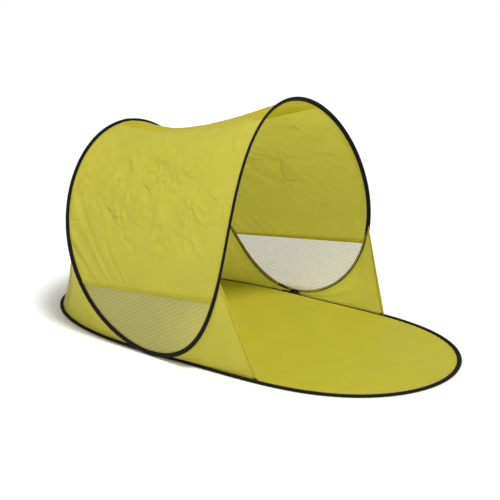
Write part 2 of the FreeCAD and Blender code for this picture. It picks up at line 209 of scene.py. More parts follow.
def canopy_edge(angle, target):
    """Where a canopy sheet on its way to a target is sewn to the saddle hoop."""
    point, along, across, inward = canopy_sides(angle)
    share = walled(angle)
    alone = tail_way(angle, across, inward) * FREE_TUCK
    shared = squarely(point, along, target) * SHARED_TUCK + inward * INNER_FACE
    return point + alone * (1 - share) + shared * share


def wall_top(angle, target):
    """Where a wall is sewn to the saddle hoop."""
    point, along, _, inward = canopy_sides(angle)
    return point + squarely(point, along, target) * SHARED_TUCK + inward * INNER_FACE


def level_inward(angle):
    """Level direction from the floor hoop towards the inside of the tent."""
    along = tangent(base_point, angle)
    side = Vector((0, 0, 1)).cross(along)
    return side if side.dot(base_point(angle)) < 0 else -side


def wall_foot(angle):
    """Where a wall is sewn to the floor hoop: on top of the tape's sewn edge."""
    lift = Vector((0, 0, TAIL_HALF - FLAT_DROP))
    return base_point(angle) + level_inward(angle) * FREE_TUCK + lift


def ease(value):
    """Smooth step from 0 to 1."""
    value = max(0.0, min(1.0, value))
    return value * value * (3 - 2 * value)


# ------------------------------------------------------------------ materials
def new_material(name):
    """Empty node material and its output."""
    material = bpy.data.materials.new(name)
    material.use_nodes = True
    nodes = material.node_tree.nodes
    nodes.clear()
    return material, nodes, material.node_tree.links, nodes.new("ShaderNodeOutputMaterial")


def math_node(nodes, links, operation, first, second=None, clamp=False):
    """One Math node whose inputs are sockets or numbers."""
    node = nodes.new("ShaderNodeMath")
    node.operation = operation
    node.use_clamp = clamp
    for socket, value in zip(node.inputs, (first, second)):
        if value is None:
            continue
        if isinstance(value, (int, float)):
            socket.default_value = value
        else:
            links.new(value, socket)
    return node.outputs[0]


def weave_height(nodes, links, pitch):
    """Height of a plain weave at a pitch in metres, on the cloth's own metric UV map."""
    uv = nodes.new("ShaderNodeUVMap")
    uv.uv_map = "cloth"
    split = nodes.new("ShaderNodeSeparateXYZ")
    links.new(uv.outputs[0], split.inputs[0])
    waves = []
    for axis in (0, 1):
        turn = math_node(nodes, links, "MULTIPLY", split.outputs[axis], math.pi / pitch)
        waves.append(math_node(nodes, links, "SINE", turn))
    return math_node(nodes, links, "MULTIPLY", *waves), split


def tinted(nodes, links, colour, spread, scale):
    """A colour that drifts a little over the cloth, as dye and handling leave it."""
    place = nodes.new("ShaderNodeTexCoord")
    cloud = nodes.new("ShaderNodeTexNoise")
    cloud.inputs["Scale"].default_value = scale
    cloud.inputs["Detail"].default_value = 6.0
    cloud.inputs["Roughness"].default_value = 0.62
    links.new(place.outputs["Object"], cloud.inputs["Vector"])
    ramp = nodes.new("ShaderNodeValToRGB")
    ramp.color_ramp.elements[0].position = 0.3
    ramp.color_ramp.elements[1].position = 0.7
    ramp.color_ramp.elements[0].color = (*(c * (1 - spread) for c in colour), 1)
    ramp.color_ramp.elements[1].color = (*(min(1, c * (1 + spread)) for c in colour), 1)
    links.new(cloud.outputs["Fac"], ramp.inputs[0])
    return ramp.outputs[0], cloud.outputs["Fac"]


def bumped(nodes, links, height, strength, distance):
    """Surface normal with a bump from a height."""
    bump = nodes.new("ShaderNodeBump")
    bump.inputs["Strength"].default_value = strength
    bump.inputs["Distance"].default_value = distance
    links.new(height, bump.inputs["Height"])
    return bump.outputs[0]


def uneven(nodes, links, cloud, least, spread):
    """Roughness from least to least + spread, in soft patches."""
    rough = math_node(nodes, links, "MULTIPLY_ADD", cloud, spread)
    rough.node.inputs[2].default_value = least
    return rough


def principled(nodes, links, tint, specular=None):
    """Principled shader in a colour."""
    shader = nodes.new("ShaderNodeBsdfPrincipled")
    links.new(tint, shader.inputs["Base Color"])
    if specular is not None:
        shader.inputs["Specular IOR Level"].default_value = specular
    return shader


def polyester(name, colour, through, glow, least_rough=0.43):
    """Thin coated polyester: weave, faint colour drift, soft gloss and light through it."""
    material, nodes, links, output = new_material(name)
    tint, cloud = tinted(nodes, links, colour, 0.045, 7.0)
    weave, _ = weave_height(nodes, links, WEAVE_PITCH)
    shader = principled(nodes, links, tint, 0.22)
    links.new(uneven(nodes, links, cloud, least_rough, 0.14), shader.inputs["Roughness"])
    links.new(bumped(nodes, links, weave, 0.22, 0.0004), shader.inputs["Normal"])
    behind = nodes.new("ShaderNodeBsdfTranslucent")
    behind.inputs["Color"].default_value = (*glow, 1)
    mix = nodes.new("ShaderNodeMixShader")
    mix.inputs[0].default_value = through
    links.new(shader.outputs[0], mix.inputs[1])
    links.new(behind.outputs[0], mix.inputs[2])
    links.new(mix.outputs[0], output.inputs[0])
    return material


def net_lattice(nodes, links):
    """1 on the net's diamond lattice, falling to 0 between its lines."""
    _, split = weave_height(nodes, links, NET_PITCH)
    stretched = math_node(nodes, links, "MULTIPLY", split.outputs[0], NET_STRETCH)
    lattice = []
    for operation in ("ADD", "SUBTRACT"):
        slant = math_node(nodes, links, operation, stretched, split.outputs[1])
        turn = math_node(nodes, links, "MULTIPLY", slant, math.pi / NET_PITCH)
        wave = math_node(nodes, links, "SINE", turn)
        ridge = math_node(nodes, links, "ABSOLUTE", wave)
        thread = math_node(nodes, links, "SUBTRACT", 1.0, ridge)
        lattice.append(math_node(nodes, links, "POWER", thread, 1.6))
    return math_node(nodes, links, "MAXIMUM", *lattice)


def netting(name, colour, solid, line):
    """Open net: threads too fine to draw cover solid of it, and its lattice covers line more."""
    material, nodes, links, output = new_material(name)
    net = net_lattice(nodes, links)
    cover = math_node(nodes, links, "MULTIPLY_ADD", net, line, clamp=True)
    cover.node.inputs[2].default_value = solid
    tint, _ = tinted(nodes, links, colour, 0.03, 9.0)
    shader = principled(nodes, links, tint, 0.2)
    links.new(cover, shader.inputs["Alpha"])
    links.new(bumped(nodes, links, net, 0.10, 0.0006), shader.inputs["Normal"])
    shader.inputs["Roughness"].default_value = 0.7
    links.new(shader.outputs[0], output.inputs[0])
    return material


def tape(name, colour, pitch):
    """Ribbed binding tape or twisted thread."""
    material, nodes, links, output = new_material(name)
    tint, cloud = tinted(nodes, links, colour, 0.25, 60.0)
    weave, split = weave_height(nodes, links, pitch)
    turn = math_node(nodes, links, "MULTIPLY", split.outputs[0], 2 * math.pi / pitch)
    rib = math_node(nodes, links, "SINE", turn)
    height = math_node(nodes, links, "ADD", weave, rib)
    shader = principled(nodes, links, tint, 0.14)
    links.new(uneven(nodes, links, cloud, 0.62, 0.2), shader.inputs["Roughness"])
    links.new(bumped(nodes, links, height, 0.5, 0.0004), shader.inputs["Normal"])
    links.new(shader.outputs[0], output.inputs[0])
    return material


def metal(name, colour, least_rough):
    """Drawn wire or crimped tube with an uneven polish."""
    material, nodes, links, output = new_material(name)
    tint, cloud = tinted(nodes, links, colour, 0.08, 220.0)
    shader = principled(nodes, links, tint)
    links.new(uneven(nodes, links, cloud, least_rough, 0.2), shader.inputs["Roughness"])
    shader.inputs["Metallic"].default_value = 1.0
    links.new(shader.outputs[0], output.inputs[0])
    return material


YELLOW = (0.600, 0.560, 0.088)
GLOW = (0.970, 0.945, 0.360)
CANOPY_CLOTH = polyester("canopy_polyester", YELLOW, 0.53, GLOW)
FLOOR_CLOTH = polyester("floor_polyester", (0.452, 0.408, 0.030), 0.05, (0.5, 0.45, 0.03), 0.53)
# Partly painted shade: the ridge layer is a real second layer, but its deeper, more saturated yellow and
# larger share of light let through make the band darker from outside. That darkness stands in for the
# shade of the flat ridge under grazing light.
RIDGE_SHADED_CLOTH = polyester("ridge_polyester", (0.60, 0.54, 0.035), 0.72, (1.0, 0.98, 0.58))
HEM_CLOTH = polyester("hem_polyester", (0.62, 0.58, 0.065), 0.62, GLOW)
NET = netting("window_net", (0.53, 0.50, 0.18), 0.56, 0.17)
TAPE = tape("binding_tape", (0.0060, 0.0050, 0.0042), TAPE_PITCH)
THREAD = tape("black_thread", (0.020, 0.019, 0.018), THREAD_PITCH)
YELLOW_THREAD = tape("yellow_thread", (0.42, 0.37, 0.05), THREAD_PITCH)
STEEL = metal("sprung_steel", (0.42, 0.42, 0.43), 0.25)
FERRULE = metal("ferrule_aluminium", (0.70, 0.70, 0.72), 0.3)


# ------------------------------------------------------------------ mesh helpers
def link(name, mesh, material, slot, *nodes):
    """Add a piece to the scene on the tent's body, in place of CAD nodes."""
    piece = bpy.data.objects.new(name, mesh)
    bpy.context.scene.collection.objects.link(piece)
    mesh.materials.append(material)
    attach(piece, BODY)
    if nodes:
        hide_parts(*nodes)
    return piece


def smooth(mesh):
    """Shade a mesh smooth."""
    mesh.polygons.foreach_set("use_smooth", [True] * len(mesh.polygons))


def lengths(points):
    """Running length along a line of points."""
    out = [0.0]
    for a, b in zip(points[:-1], points[1:]):
        out.append(out[-1] + (b - a).length)
    return out


def grid_normal(rows, i, j):
    """Unit normal of a grid of points at one of them."""
    down = rows[min(i + 1, len(rows) - 1)][j] - rows[max(i - 1, 0)][j]
    right = rows[i][min(j + 1, len(rows[0]) - 1)] - rows[i][max(j - 1, 0)]
    across = down.cross(right)
    return across.normalized() if across.length > 0 else Vector((0, 0, 1))


def cloth(name, rows, material, slot, nodes, height=None, thick=CLOTH, flat_map=None):
    """Sheet of cloth on a grid of points, raised along its normals by height(i, j, point)."""
    count, width = len(rows), len(rows[0])
    moved = rows
    if height is not None:
        moved = [[rows[i][j] + grid_normal(rows, i, j) * height(i, j, rows[i][j])
                  for j in range(width)] for i in range(count)]
    corners = [p for row in moved for p in row]
    faces = [(i * width + j, i * width + j + 1, (i + 1) * width + j + 1, (i + 1) * width + j)
             for i in range(count - 1) for j in range(width - 1)]
    mesh = bpy.data.meshes.new(name)
    mesh.from_pydata(corners, [], faces)
    middle = lengths([row[width // 2] for row in rows])
    along = [lengths(row) for row in rows]
    uv = mesh.uv_layers.new(name="cloth")
    for loop in mesh.loops:
        i, j = divmod(loop.vertex_index, width)
        if flat_map is None:
            uv.data[loop.index].uv = (along[i][j], middle[i])
        else:
            uv.data[loop.index].uv = flat_map(rows[i][j])
    smooth(mesh)
    piece = link(name, mesh, material, slot, *nodes)
    if thick:
        solid = piece.modifiers.new("cloth thickness", "SOLIDIFY")
        solid.thickness = thick
        solid.offset = 0.0
    return piece


def soft_noise(point, size, seed):
    """Smooth noise from about -1 to 1."""
    return noise.noise(point / size + Vector((seed, seed * 2, -seed)),
                       noise_basis="PERLIN_ORIGINAL")


def crease(point, size, seed, width):
    """Sharp, nearly straight fold lines of packed cloth: 1 on a line and 0 away from it."""
    place = point / size + Vector((seed, -seed, seed * 0.5))
    place += 0.30 * noise.noise_vector(place * 1.3)
    near, after = noise.voronoi(place)[0][:2]
    return math.exp(-((after - near) / width) ** 2)


def crinkle(point, size, seed, width):
    """Fold lines that stand up in some places, sink in others and die out between them."""
    return crease(point, size, seed, width) * 1.6 * soft_noise(point, size * 1.7, seed + 40)


# ------------------------------------------------------------------ binding
AROUND = 24                 # points around the tape


def tape_section(swell=0.0):
    """Points around the folded tape as (towards the sheet, across it): round back, thin sewn edge."""
    points = []
    for i in range(AROUND):
        turn = 2 * math.pi * i / AROUND
        reach, side = math.cos(turn), math.sin(turn)
        if reach <= 0:
            points.append((reach * (TAPE_BACK + swell), side * (TAPE_HALF + swell)))
        else:
            thin = ease(reach * 1.15)
            half = TAPE_HALF + (TAIL_HALF - TAPE_HALF) * thin + swell
            blunt = math.copysign(abs(side) ** 0.45, side)
            points.append((reach ** 0.8 * (TAPE_TAIL + swell), blunt * half))
    return points


def hoop_frames(curve, first, last, count):
    """Point, direction, way to the sheet and way across it, along part of a hoop."""
    frames = []
    for i in range(count):
        angle = first + (last - first) * i / (count - 1)
        if curve is canopy_point:
            point, along, across, inward = canopy_sides(angle)
            tail = tail_way(angle, across, inward)
        else:
            point, along = base_point(angle), tangent(base_point, angle)
            point.z -= FLAT_DROP
            tail = (level_inward(angle) - Vector((0, 0, FLAT_DIP))).normalized()
        frames.append((point, along, tail, along.cross(tail)))
    return frames


def tape_mesh(name, frames, swell=0.0, closed=True, puckers=0.00022):
    """Folded tape along a line of frames, with the slight puckers that sewing a curve leaves."""
    section = tape_section(swell)
    run = lengths([frame[0] for frame in frames])
    corners = []
    for k, (point, _, tail, side) in enumerate(frames):
        wave = puckers * math.sin(run[k] * 2 * math.pi / 0.011 + 2 * soft_noise(point, 0.05, 3.0))
        wave += puckers * 1.5 * soft_noise(point, 0.03, 13.0)
        for reach, across in section:
            puff = wave * (1.0 if reach > 0 else 0.4)
            corners.append(point + tail * (reach + puff) + side * (across + math.copysign(puff, across)))
    rings = len(frames)
    if closed:
        corners = corners[:-AROUND]
        rings -= 1
    faces = []
    for k in range(rings if closed else rings - 1):
        for i in range(AROUND):
            ring, after = k * AROUND, (k + 1) % rings * AROUND
            faces.append((ring + i, ring + (i + 1) % AROUND, after + (i + 1) % AROUND, after + i))
    if not closed:
        faces.append(tuple(reversed(range(AROUND))))
        faces.append(tuple((rings - 1) * AROUND + i for i in range(AROUND)))
    mesh = bpy.data.meshes.new(name)
    mesh.from_pydata(corners, [], faces)
    unroll_tape(mesh, run)
    smooth(mesh)
    return mesh


def unroll_tape(mesh, run):
    """Metric UV map of a tape: its running length by its girth."""
    uv = mesh.uv_layers.new(name="cloth")
    girth = 2 * math.pi * TAPE_BACK
    for number, polygon in enumerate(mesh.polygons):
        k, i = divmod(number, AROUND)
        if k >= len(run) - 1:
            continue
        for loop, (dk, di) in zip(polygon.loop_indices, ((0, 0), (0, 1), (1, 1), (1, 0))):
            uv.data[loop].uv = (run[k + dk], girth * (i + di) / AROUND)


def thread_boxes(name, stitches, thick=0.0004):
    """Separate stitches, each a short bevelled bar given by its middle, direction, face and length."""
    corners, faces = [], []
    for middle, along, up, length in stitches:
        side = along.cross(up)
        first = len(corners)
        for end in (-1, 1):
            for width, rise in ((-1, -0.5), (1, -0.5), (0.6, 0.8), (-0.6, 0.8)):
                corners.append(middle + along * end * length / 2 * (1 if rise < 0 else 0.8)
                               + side * width * thick + up * rise * thick)
        faces += [tuple(first + q for q in quad) for quad in
                  ((3, 2, 1, 0), (4, 5, 6, 7), (0, 1, 5, 4), (1, 2, 6, 5), (2, 3, 7, 6), (3, 0, 4, 7))]
    mesh = bpy.data.meshes.new(name)
    mesh.from_pydata(corners, [], faces)
    mesh.uv_layers.new(name="cloth")
    return mesh


def points_along(points, pitch):
    """Places a pitch apart on a line of points, each with its direction and share of the line."""
    run = lengths(points)
    found, k = [], 0
    for n in range(int(run[-1] / pitch)):
        place = (n + 0.5) * pitch
        while run[k + 1] < place:
            k += 1
        along = (points[k + 1] - points[k]).normalized()
        found.append((points[k] + along * (place - run[k]), along, place / run[-1]))
    return found


def hoop_stitches(name, frames):
    """Row of stitches through the tape's sewn edge, on both of its faces."""
    from_wire, from_middle = 0.0088, 0.0027
    stitches = []
    for face in (-1, 1):
        line = [f[0] + f[2] * from_wire + f[3] * face * from_middle for f in frames]
        sides = [f[3] * face for f in frames]
        for point, along, share in points_along(line, STITCH_PITCH):
            up = sides[int(share * (len(frames) - 1))]
            up = (up - along * up.dot(along)).normalized()
            stitches.append((point, along, up, STITCH_LENGTH))
    return link(name, thread_boxes(name, stitches), THREAD, "dark_thread")


def add_binding(hoop, curve, count):
    """Tape around a hoop, its stitches, and the lapped end where it starts and finishes."""
    frames = hoop_frames(curve, -math.pi, math.pi, count + 1)
    name = hoop + "_hoop_tape"
    link(name, tape_mesh(name, frames), TAPE, "black_tape", hoop + "_binding")
    hoop_stitches(hoop + "_tape_stitches", frames)
    add_lap(hoop, curve)


def add_lap(hoop, curve):
    """Lapped end of a hoop's tape at the rear, as wide as the CAD's join, stitched across twice."""
    low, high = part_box(hoop + "_binding_join")
    step = 0.03 * math.pi
    per_step = (curve(math.pi - step) - curve(math.pi)).length
    reach = math.asin(min(1.0, 0.5 * (high.y - low.y) / per_step)) * step
    frames = hoop_frames(curve, math.pi - reach, math.pi + reach, 17)
    name = hoop + "_tape_lap"
    lap = tape_mesh(name, frames, 0.0009, False, 0.0001)
    link(name, lap, TAPE, "black_tape", hoop + "_binding_join")
    ends = []
    for place in (1, 15):
        point, _, tail, side = frames[place]
        for face in (-1, 1):
            for n in range(5):
                middle = point + tail * (-0.003 + 0.0030 * n)
                lift = TAPE_HALF + 0.0010 if n < 2 else TAPE_HALF - 0.0009 * (n - 1)
                ends.append((middle + side * face * lift, tail, side * face, 0.0021))
    name = hoop + "_lap_stitches"
    link(name, thread_boxes(name, ends), THREAD, "dark_thread")


def bend_over(centre, side, first, last):
    """Arc of the strap over one tape, as points across the tent, between two turns from level."""
    radius = TAPE_BACK + 0.0016
    points = []
    for n in range(9):
        turn = math.radians(first + (last - first) * n / 8)
        points.append((centre[0] + side * radius * math.cos(turn), centre[1] + radius * math.sin(turn)))
    return points


def add_foot_ties():
    """Short strap over both bindings at each foot, bar-tacked on top."""
    outer, inner = canopy_point(math.pi / 2), base_point(FOOT_ANGLE)
    for side, name in ((-1, "near"), (1, "far")):
        low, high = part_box("foot_tie_" + name)
        profile = bend_over((side * abs(outer.y), outer.z), side, 50, 90)
        profile += bend_over((side * abs(inner.y), inner.z - FLAT_DROP), side, 90, 105)
        rows = []
        for n in range(13):
            x = low.x + (high.x - low.x) * n / 12
            rows.append([Vector((x, y, z)) for y, z in profile])
        strap = cloth("foot_strap_" + name, rows, TAPE, "black_tape", ["foot_tie_" + name], None, 0.0014)
        stitches = []
        for n in range(2, 11, 2):
            for k in range(6, 12):
                middle = (rows[n][k] + rows[n][k + 1]) / 2
                along = (rows[n][k + 1] - rows[n][k]).normalized()
                stitches.append((middle + Vector((0, 0, 0.0010)), along, Vector((0, 0, 1)), 0.0022))
        label = "foot_strap_stitches_" + name
        link(label, thread_boxes(label, stitches), THREAD, "dark_thread")


# ------------------------------------------------------------------ canopy
def canopy_spot(front_share, rear_share, along):
    """Point of the canopy; along runs from the front edge at 0 to the rear edge at 1."""
    front_angle = front_share * HEM_FRONT
    rear_angle = math.pi - rear_share * HEM_REAR
    front = canopy_edge(front_angle, canopy_point(rear_angle))
    rear = canopy_edge(rear_angle, canopy_point(front_angle))
    share = front_share + (rear_share - front_share) * along
    point = front + (rear - front) * along
    bow = 4 * along * (1 - along) * (1 + ROOF_SAG_SKEW * (2 * along - 1))
    point.z -= ROOF_SAG * math.cos(share * math.pi / 2) ** 2 * bow
    return point


def canopy_rows(first, last, rows, columns):
    """Grid of the canopy between two lengthwise rows, each given by its front and rear shares."""
    grid = []
    for i in range(rows):
        part = i / (rows - 1)
        front_share = first[0] + (last[0] - first[0]) * part
        rear_share = first[1] + (last[1] - first[1]) * part
        grid.append([canopy_spot(front_share, rear_share, j / (columns - 1)) for j in range(columns)])
    return grid


def gathers(edge_run, from_edge, point, pitch=0.021, deep=0.0020, reach=0.040):
    """Small gathers square to a sewn edge, which die away from it."""
    wave = math.sin(2 * math.pi * edge_run / pitch + 3.0 * soft_noise(point, 0.12, 7.0))
    strength = 0.5 + 0.7 * soft_noise(point, 0.15, 11.0)
    clear_of_tape = ease((from_edge - 0.002) / 0.018)
    return deep * strength * wave * clear_of_tape * math.exp(-from_edge / reach)


def pulled_folds(point, from_rear, from_front):
    """Folds that fan up from the foot to the hoop, deepest beside the rear of each side."""
    deep, wide_pitch, fine_pitch = 0.0046, 0.078, 0.043
    foot = Vector((FOOT[0] + 0.22, 0.0, -0.15))
    lean = math.atan2(foot.x - point.x, point.z - foot.z)
    fold = math.sin(2 * math.pi * lean / wide_pitch + 2.4 * soft_noise(point, 0.22, 2.0))
    fold += 0.4 * math.sin(2 * math.pi * lean / fine_pitch + 3.0 * soft_noise(point, 0.15, 3.0))
    low = ease((0.78 - point.z) / 0.22)
    rearward = ease((lean - 0.38) / 0.32) * math.exp(-from_rear / 0.30)
    forward = 0.45 * ease((0.08 - lean) / 0.25) * math.exp(-from_front / 0.16)
    uneven_depth = 0.65 + 0.7 * soft_noise(point, 0.16, 4.0)
    held = ease(min(from_rear, from_front) / 0.03)
    return deep * fold * low * uneven_depth * (rearward + forward) * held


def packing_creases(point, from_front, on_ridge):
    """Creases left by packing, most on the upper half of each side, least on the ridge."""
    drawn = Vector((0.35 * (point.x - point.z), point.y, 0.7 * (point.x + point.z)))
    height = 0.0130 * crinkle(point, 0.120, 5.0, 0.12)
    height += 0.0076 * crinkle(drawn, 0.058, 15.0, 0.15)
    height += 0.0058 * soft_noise(drawn, 0.056, 21.0)
    height += 0.0030 * soft_noise(point, 0.031, 27.0)
    upper = ease((point.z - 0.36) / 0.20) * (0.30 + 0.70 * ease((0.95 - point.z) / 0.10))
    patch = ease(0.75 + 1.2 * soft_noise(point, 0.26, 31.0))
    far = ease(0.5 + point.y / 0.2)
    side = 0.65 * far + (1 - far) * (0.35 + 0.65 * ease(from_front / 0.40))
    return height * side * (0.15 + 1.25 * upper * patch) * (1 - 0.75 * on_ridge)


def canopy_wrinkle(point, from_front, from_rear, around, from_hem):
    """Height of the canopy's wrinkles: swell, pulled folds, packing creases and gathered edges."""
    from_edge = min(from_front, from_rear)
    hold = ease(from_edge / 0.06) * ease(from_hem / 0.04)
    on_ridge = math.exp(-(point.y / 0.20) ** 2)
    swell = 0.0060 * soft_noise(point, 0.28, 1.0) + 0.0034 * soft_noise(point, 0.11, 17.0)
    swell *= 1 - 0.6 * on_ridge
    packing = packing_creases(point, from_front, on_ridge)
    lip = 0.0042 * math.exp(-((from_front - 0.034) / 0.012) ** 2)
    lip *= ease((0.95 - point.z) / 0.2) * (0.6 + 0.6 * soft_noise(point, 0.3, 6.0))
    hem = gathers(from_front, from_hem, point, 0.034, 0.0012, 0.05)
    edge = gathers(around, from_edge, point)
    pulled = pulled_folds(point, from_rear, from_front) * ease(from_hem / 0.05)
    return (swell + packing + lip) * hold + hem + edge + pulled


def canopy_height(rows, beyond, lift=0.0):
    """Wrinkle height for a lengthwise strip of the canopy whose edges lie beyond from the hems."""
    along = [lengths(row) for row in rows]
    middle = lengths([row[len(row) // 2] for row in rows])

    def height(i, j, point):
        around = middle[i] - middle[-1] / 2
        from_hem = beyond + min(middle[i], middle[-1] - middle[i])
        from_rear = along[i][-1] - along[i][j]
        return lift + canopy_wrinkle(point, along[i][j], from_rear, around, from_hem)

    return height


def crown_run(angle):
    """Length of hoop per unit of angle beside a crown."""
    return (canopy_point(angle + 0.01) - canopy_point(angle)).length / 0.01


def seam_stitches(name, lines, lift):
    """Rows of yellow stitches along lines of points, each line with its own surface normals."""
    stitches = []
    for points, normals in lines:
        for point, along, share in points_along(points, STITCH_PITCH):
            up = normals[int(share * (len(points) - 1))]
            up = (up - along * up.dot(along)).normalized()
            stitches.append((point + up * lift, along, up, STITCH_LENGTH))
    return link(name, thread_boxes(name, stitches, 0.00035), YELLOW_THREAD, "yellow_polyester")


def normals_of(rows, i):
    """Normals of a grid along one of its rows."""
    return [grid_normal(rows, i, j) for j in range(len(rows[i]))]


def hem_lay(outward):
    """Height of a folded hem that lies on the outside of its sheet."""
    return lambda i, j, point: outward * (LAY + 0.0005 * soft_noise(point, 0.03, 6.0))


def add_canopy():
    """Main canopy sheet and the folded hems above the windows."""
    rows = canopy_rows((-1, -1), (1, 1), 441, 201)
    panel = cloth("canopy_sheet", rows, CANOPY_CLOTH, "yellow_polyester", ["canopy_panel"],
                  canopy_height(rows, 0.0))
    ridge, ridge_rows = add_ridge(lengths([row[100] for row in rows])[-1] / 2)
    hems = [add_window_hem(-1, "near"), add_window_hem(1, "far")]


def add_ridge(half_canopy):
    """Second layer along the ridge, wider at the front, stitched down along both sides."""
    front = RIDGE_FRONT_WIDTH / 2 / (crown_run(0) * HEM_FRONT)
    rear = RIDGE_REAR_WIDTH / 2 / (crown_run(math.pi) * HEM_REAR)
    rows = canopy_rows((-front, -rear), (front, rear), 91, 161)
    beyond = half_canopy - lengths([row[80] for row in rows])[-1] / 2
    height = canopy_height(rows, beyond, 0.0017)
    ridge = cloth("ridge_layer", rows, RIDGE_SHADED_CLOTH, "yellow_polyester", ["ridge_reinforcement"],
                  height, FOLDED)
    lines = []
    for i in (2, 88):
        points = [rows[i][j] + grid_normal(rows, i, j) * height(i, j, rows[i][j]) for j in range(161)]
        lines.append((points, normals_of(rows, i)))
    seam_stitches("ridge_stitches", lines, 0.0007)
    return ridge, rows


def add_window_hem(side, name):
    """Folded hem above one side window, with a row of stitches along each edge."""
    front = WINDOW_HEM_FRONT / (crown_run(HEM_FRONT) * HEM_FRONT)
    rear = WINDOW_HEM_REAR / (crown_run(HEM_REAR) * HEM_REAR)
    past_seam = 1.003
    rows = canopy_rows((side * (1 - front), side * (1 - rear)),
                       (side * past_seam, side * past_seam), 9, 201)
    hem = cloth("window_hem_fold_" + name, rows, HEM_CLOTH, "yellow_polyester",
                ["window_hem_" + name], hem_lay(side), 0.0013)
    lines = [(rows[i], [side * n for n in normals_of(rows, i)]) for i in (7, 1)]
    seam_stitches("window_hem_stitches_" + name, lines, 0.0020)
    return hem


def window_rows(side, rows, columns):
    """Grid of a side window from its straight seam down to the foot."""
    grid = []
    for i in range(rows):
        share = math.sin(i / (rows - 1) * math.pi / 2)
        front_angle = side * (HEM_FRONT + (WINDOW_FOOT - HEM_FRONT) * share)
        rear_angle = math.pi - side * (HEM_REAR + (WINDOW_FOOT - HEM_REAR) * share)
        front = canopy_edge(front_angle, canopy_point(rear_angle))
        rear = canopy_edge(rear_angle, canopy_point(front_angle))
        grid.append([front + (rear - front) * (j / (columns - 1)) for j in range(columns)])
    return grid


def window_swell(i, j, point):
    """Soft waves of a side window, held still along its seam and its tape."""
    hold = ease(i / 6) * ease(j / 8) * ease((100 - j) / 8)
    return hold * (0.004 * soft_noise(point, 0.16, 5.0) + 0.0012 * soft_noise(point, 0.05, 8.0))


def side_map(point):
    """Flat map of a sheet that stands at the tent's side."""
    return point.x, point.z


def add_windows():
    """Net in the bottom lobe of each side."""
    for side, name in ((-1, "near"), (1, "far")):
        rows = window_rows(side, 61, 101)
        net = cloth("window_net_" + name, rows, NET, "mesh", ["side_window_" + name],
                    window_swell, 0, side_map)


# ------------------------------------------------------------------ walls
def wall_column(hoop_angle, floor_angle, low, high, count, sag=0.0):
    """Line up a wall from the floor hoop to the canopy hoop, pulled in by sag."""
    bottom = wall_foot(floor_angle)
    top = wall_top(hoop_angle, base_point(floor_angle))
    points = []
    for i in range(count):
        share = low + (high - low) * i / (count - 1)
        point = bottom + (top - bottom) * share
        point.x += sag * 4 * share * (1 - share)
        points.append(point)
    return points


def wall_height(columns, folds, slack):
    """Wrinkles of a wall: slack swell, folds pulled from its narrow end and gathered edges."""
    wide, tall = len(columns), len(columns[0])
    foot_run = lengths([column[0] for column in columns])

    def height(i, j, point):
        across, up = i / (wide - 1), j / (tall - 1)
        hold = ease(across * 6) * ease((1 - across) * 6) * ease(up * 6) * ease((1 - up) * 6)
        swell = slack * soft_noise(point, 0.13, 12.0) + 0.3 * slack * soft_noise(point, 0.05, 22.0)
        fan = math.sin(2 * math.pi * folds * up + 1.8 * soft_noise(point, 0.15, 14.0))
        pulled = 0.0026 * fan * ease((1 - across) * 1.3)
        fine = 0.0012 * crinkle(point, 0.07, 25.0, 0.10)
        tall_here = (columns[i][-1] - columns[i][0]).length
        sewn = gathers(foot_run[i], min(up, 1 - up) * tall_here, point, 0.024, 0.0012, 0.02)
        return hold * (swell + pulled + fine) + sewn * ease(across * 8) * ease((1 - across) * 8)

    return height


def add_front_gussets():
    """Triangular walls beside the mouth with their folded, top-stitched front edges."""
    floor_tip = base_angle_at(canopy_point(GUSSET_TIP).x)
    for side, name in ((-1, "near"), (1, "far")):
        columns = []
        for i in range(81):
            share = i / 80
            columns.append(wall_column(side * (GUSSET_TIP + (GUSSET_TOP - GUSSET_TIP) * share),
                                       side * (floor_tip + (GUSSET_FOOT - floor_tip) * share),
                                       0, 1, 81))
        gusset = cloth("gusset_front_" + name, columns, CANOPY_CLOTH, "yellow_polyester",
                       ["front_gusset_" + name], wall_height(columns, 2.5, 0.004), CLOTH, side_map)
        edge, inner = columns[-1], columns[-10]
        hem, outward = add_gusset_hem(name, edge, inner)
        add_bar_tack(name, edge, inner, outward)


def add_gusset_hem(name, edge, inner):
    """Folded front edge of a gusset, between its edge and a line further in, and its outward sign."""
    columns = []
    for k in range(9):
        back = 1 - k / 8
        columns.append([e + (n - e).normalized() * HEM_WIDTH * back for e, n in zip(edge, inner)])
    outward = 1 if grid_normal(columns, 4, 40).y * columns[0][40].y > 0 else -1

    def rolled(i, j, point):
        roll = 0.0006 * math.sin(math.pi * i / 8)
        return outward * (0.0009 + roll + 0.0004 * soft_noise(point, 0.02, 6.0))

    hem = cloth("gusset_hem_" + name, columns, HEM_CLOTH, "yellow_polyester",
                ["front_gusset_hem_" + name], rolled, FOLDED, side_map)
    normals = [outward * n for n in normals_of(columns, 2)]
    seam_stitches("gusset_hem_stitches_" + name, [(columns[2], normals)], 0.0022)
    return hem, outward


def add_bar_tack(name, edge, inner, outward):
    """Close zigzag of dark thread that holds the gusset's front corner to the floor hoop."""
    low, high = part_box("bar_tack_" + name)
    length = (high - low).length
    up = (edge[6] - edge[0]).normalized()
    back = (inner[0] - edge[0]).normalized()
    facing = outward * up.cross(back).normalized()
    if facing.y * edge[0].y < 0:
        facing = -facing
    stitches = []
    count = 16
    for n in range(count):
        from_corner = 0.002 + length * 0.8 * n / count
        place = edge[0] + back * from_corner + up * 0.0065
        for face in (-1, 1):
            lean = (up + back * (0.25 if n % 2 else -0.25)).normalized()
            stitches.append((place + facing * face * 0.0021, lean, facing * face, 0.0062))
    label = "gusset_tack_" + name
    link(label, thread_boxes(label, stitches, 0.00045), THREAD, "dark_thread", "bar_tack_" + name)


